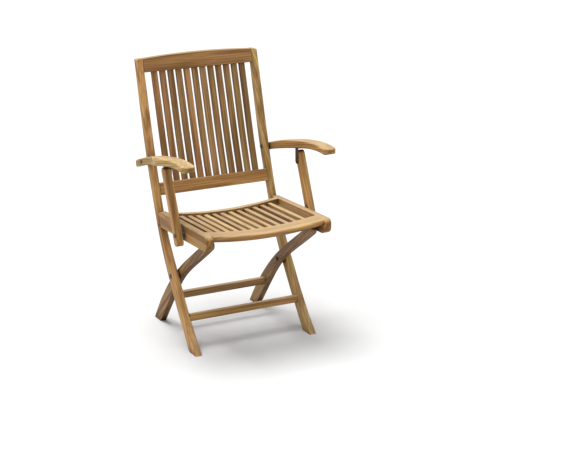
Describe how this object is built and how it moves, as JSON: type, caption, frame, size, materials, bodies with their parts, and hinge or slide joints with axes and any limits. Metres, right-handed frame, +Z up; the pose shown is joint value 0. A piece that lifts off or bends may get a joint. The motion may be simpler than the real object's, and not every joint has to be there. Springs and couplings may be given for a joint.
{
  "type": "folding armchair",
  "caption": "Folding slatted teak garden armchair with curved crossing legs, a dished slatted seat, a high slatted back and arms carried on pivoting posts.",
  "frame": {"origin": "on the floor, under the middle of the chair's overall box (middle of its width and of its depth)", "axes": "+Z up, the chair faces -Y (the sitter looks along -Y), +X is to the right as seen from the front"},
  "size_m": [0.5792, 0.59, 0.963],
  "materials": {
    "teak": "oiled, satin",
    "steel": "dull plated"
  },
  "bodies": {
    "back_frame": {"left_stile": "teak", "right_stile": "teak", "crest_rail": "teak", "lower_back_rail": "teak", "back_slat_01": "teak", "back_slat_02": "teak", "back_slat_03": "teak", "back_slat_04": "teak", "back_slat_05": "teak", "back_slat_06": "teak", "back_slat_07": "teak", "back_slat_08": "teak", "back_slat_09": "teak", "back_slat_10": "teak", "back_slat_11": "teak", "back_slat_12": "teak", "front_stretcher": "teak", "hinge_plates": "steel", "hinge_plate_bolts": "steel", "cross_pivot_bolts": "steel", "cross_pivot_nuts": "steel", "cross_pivot_washers": "steel", "arm_pivot_bolts": "steel", "arm_pivot_nuts": "steel", "arm_pivot_washers": "steel"},
    "rear_legs": {"left_rear_leg": "teak", "right_rear_leg": "teak", "rear_stretcher": "teak", "leg_slide_pins": "steel"},
    "seat": {"left_seat_rail": "teak", "right_seat_rail": "teak", "front_seat_rail": "teak", "rear_seat_rail": "teak", "seat_slat_01": "teak", "seat_slat_02": "teak", "seat_slat_03": "teak", "seat_slat_04": "teak", "seat_slat_05": "teak", "seat_slat_06": "teak", "seat_slat_07": "teak", "seat_slat_08": "teak", "seat_slat_09": "teak", "seat_slat_10": "teak", "seat_slat_11": "teak", "seat_slat_12": "teak", "slide_rails": "steel", "slide_rail_screws": "steel", "seat_hinge_bolts": "steel", "post_foot_bolts": "steel", "post_foot_washers": "steel"},
    "left_arm": {"left_arm": "teak", "left_arm_bracket": "steel", "left_post_head_bolt": "steel"},
    "right_arm": {"right_arm": "teak", "right_arm_bracket": "steel", "right_post_head_bolt": "steel"},
    "left_post": {"left_arm_post": "teak"},
    "right_post": {"right_arm_post": "teak"}
  },
  "joints": [
    {"name": "seat_fold", "type": "hinge", "parent": "back_frame", "child": "seat", "pos_m": [0, 0.098, 0.431], "axis": [-1, 0, 0], "range_deg": [0, 105]},
    {"name": "leg_fold", "type": "hinge", "parent": "back_frame", "child": "rear_legs", "pos_m": [0, 0.012, 0.231], "axis": [-1, 0, 0], "range_deg": [0, 68.41]},
    {"name": "left_arm_fold", "type": "hinge", "parent": "back_frame", "child": "left_arm", "pos_m": [-0.2516, 0.188, 0.609], "axis": [-1, 0, 0], "range_deg": [0, 105]},
    {"name": "right_arm_fold", "type": "hinge", "parent": "back_frame", "child": "right_arm", "pos_m": [0.2516, 0.188, 0.609], "axis": [-1, 0, 0], "range_deg": [0, 105]},
    {"name": "left_post_fold", "type": "hinge", "parent": "seat", "child": "left_post", "pos_m": [-0.258, -0.116, 0.42], "axis": [-1, 0, 0], "range_deg": [-105, 0]},
    {"name": "right_post_fold", "type": "hinge", "parent": "seat", "child": "right_post", "pos_m": [0.258, -0.116, 0.42], "axis": [-1, 0, 0], "range_deg": [-105, 0]}
  ],
  "couplings": [
    {"joint": "leg_fold", "follows": "seat_fold", "ratio": 0.6515},
    {"joint": "left_arm_fold", "follows": "seat_fold", "ratio": 1},
    {"joint": "right_arm_fold", "follows": "seat_fold", "ratio": 1},
    {"joint": "left_post_fold", "follows": "seat_fold", "ratio": -1},
    {"joint": "right_post_fold", "follows": "seat_fold", "ratio": -1}
  ]
}
